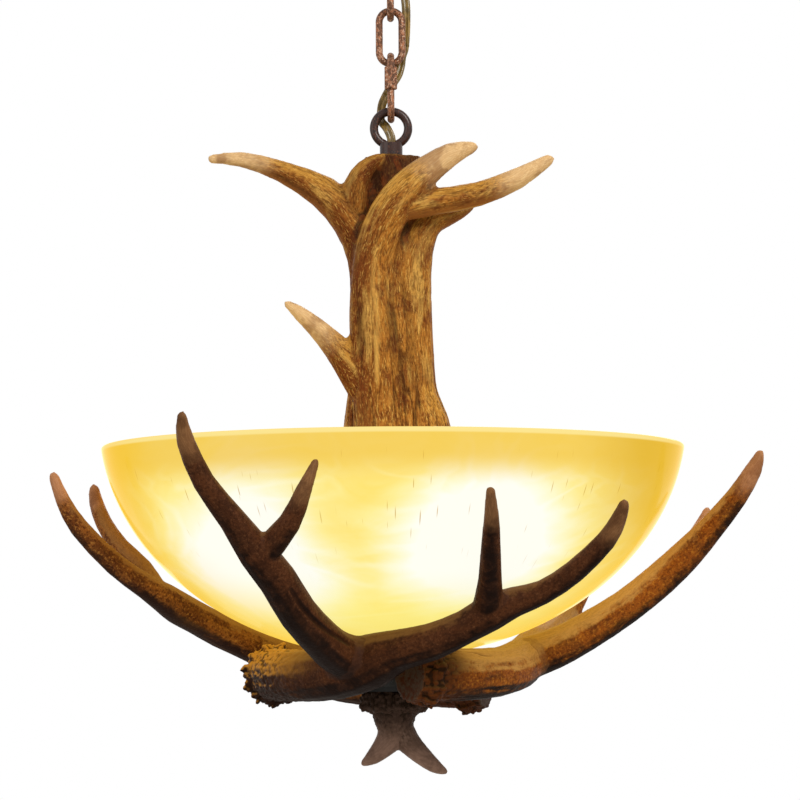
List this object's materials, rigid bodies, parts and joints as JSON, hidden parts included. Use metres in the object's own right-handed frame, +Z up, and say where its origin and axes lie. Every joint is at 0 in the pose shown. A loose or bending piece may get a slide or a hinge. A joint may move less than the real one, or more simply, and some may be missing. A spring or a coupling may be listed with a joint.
{
  "type": "pendant light",
  "caption": "Pendant light on a chain: an antler column with tines carries an amber glass bowl that forked antlers hold from below, over a forked finial.",
  "frame": {"origin": "middle of the ceiling plane, between the two screw slots of the crossbar", "axes": "+Z up into the ceiling; +X along the crossbar, towards the longer right tines"},
  "size_m": [0.4918, 0.4582, 0.6215],
  "materials": {
    "zinc_steel": "zinc plated",
    "brass": "plain brass",
    "green_screw": "green",
    "dark_bronze": "dark oil rubbed bronze paint",
    "chain_copper": "mottled rusty copper paint",
    "clear_flex": "clear insulation over copper strands",
    "column_antler": "cast resin, painted as golden brown antler",
    "bowl_antler": "cast resin, painted as brown antler",
    "finial_antler": "cast resin, painted as grey brown antler",
    "holder_ceramic": "white",
    "bulb_cap": "pressed thread",
    "bulb_glass": "frosted",
    "amber_glass": "amber alabaster glass",
    "rubber": "black",
    "hub_steel": "dark grey",
    "hub_cover": "black"
  },
  "bodies": {
    "ceiling_mount": {"crossbar": "zinc_steel", "nipple": "brass", "nipple_nuts": "brass", "ground_screw": "green_screw", "canopy_loop": "dark_bronze"},
    "canopy": {"canopy": "dark_bronze", "screw_collar": "dark_bronze"},
    "top_link": {"top_link": "chain_copper", "flex_1": "clear_flex"},
    "middle_link": {"middle_link": "chain_copper", "flex_2": "clear_flex"},
    "quick_link": {"quick_link": "chain_copper", "flex_3": "clear_flex"},
    "sleeve": {"quick_link_sleeve": "chain_copper"},
    "bulb_1": {"bulb_cap_1": "bulb_cap", "bulb_glass_1": "bulb_glass"},
    "bulb_2": {"bulb_cap_2": "bulb_cap", "bulb_glass_2": "bulb_glass"},
    "bulb_3": {"bulb_cap_3": "bulb_cap", "bulb_glass_3": "bulb_glass"},
    "finial": {"finial": "finial_antler", "finial_insert": "brass"},
    "light": {"flex_4": "clear_flex", "fixture_loop": "dark_bronze", "centre_pipe": "zinc_steel", "antler_column": "column_antler", "column_washer": "zinc_steel", "socket_cluster": "zinc_steel", "cluster_cover": "zinc_steel", "cluster_nut": "brass", "lamp_holder_1": "holder_ceramic", "lamp_holder_2": "holder_ceramic", "lamp_holder_3": "holder_ceramic", "glass_bowl": "amber_glass", "upper_gasket": "rubber", "clamp_washer": "zinc_steel", "clamp_nut": "brass", "lower_gasket": "rubber", "hub_cup": "hub_steel", "hub_nut": "brass", "hub_cover": "hub_cover", "antler_screws": "zinc_steel", "antler_front": "bowl_antler", "antler_right": "bowl_antler", "antler_left": "bowl_antler"}
  },
  "joints": [
    {"name": "canopy_drop", "type": "slide", "parent": "ceiling_mount", "child": "canopy", "axis": [0, 0, -1], "range_m": [0, 0.025]},
    {"name": "top_link_swing", "type": "hinge", "parent": "ceiling_mount", "child": "top_link", "pos_m": [0, 0, -0.0592], "axis": [1, 0, 0], "range_deg": [-20, 20], "deforming": ["flex_1"]},
    {"name": "middle_link_swing", "type": "hinge", "parent": "top_link", "child": "middle_link", "pos_m": [0, 0, -0.091], "axis": [0, 1, 0], "range_deg": [-20, 20], "deforming": ["flex_2"]},
    {"name": "quick_link_swing", "type": "hinge", "parent": "middle_link", "child": "quick_link", "pos_m": [0, 0, -0.1233], "axis": [1, 0, 0], "range_deg": [-20, 20], "deforming": ["flex_3"]},
    {"name": "sleeve_open", "type": "slide", "parent": "quick_link", "child": "sleeve", "axis": [0, 0, -1], "range_m": [0, 0.011]},
    {"name": "light_swing", "type": "hinge", "parent": "quick_link", "child": "light", "pos_m": [0, 0, -0.1631], "axis": [0, 1, 0], "range_deg": [-15, 15], "deforming": ["flex_4"]},
    {"name": "bulb_1_unscrew", "type": "slide", "parent": "light", "child": "bulb_1", "axis": [-0.866, -0.5, 0], "range_m": [0, 0.025]},
    {"name": "bulb_2_unscrew", "type": "slide", "parent": "light", "child": "bulb_2", "axis": [0.866, -0.5, 0], "range_m": [0, 0.025]},
    {"name": "bulb_3_unscrew", "type": "slide", "parent": "light", "child": "bulb_3", "axis": [0, 1, 0], "range_m": [0, 0.025]},
    {"name": "finial_turn", "type": "hinge", "parent": "light", "child": "finial", "pos_m": [0, 0, -0.5637], "axis": [0, 0, 1], "continuous": true}
  ]
}
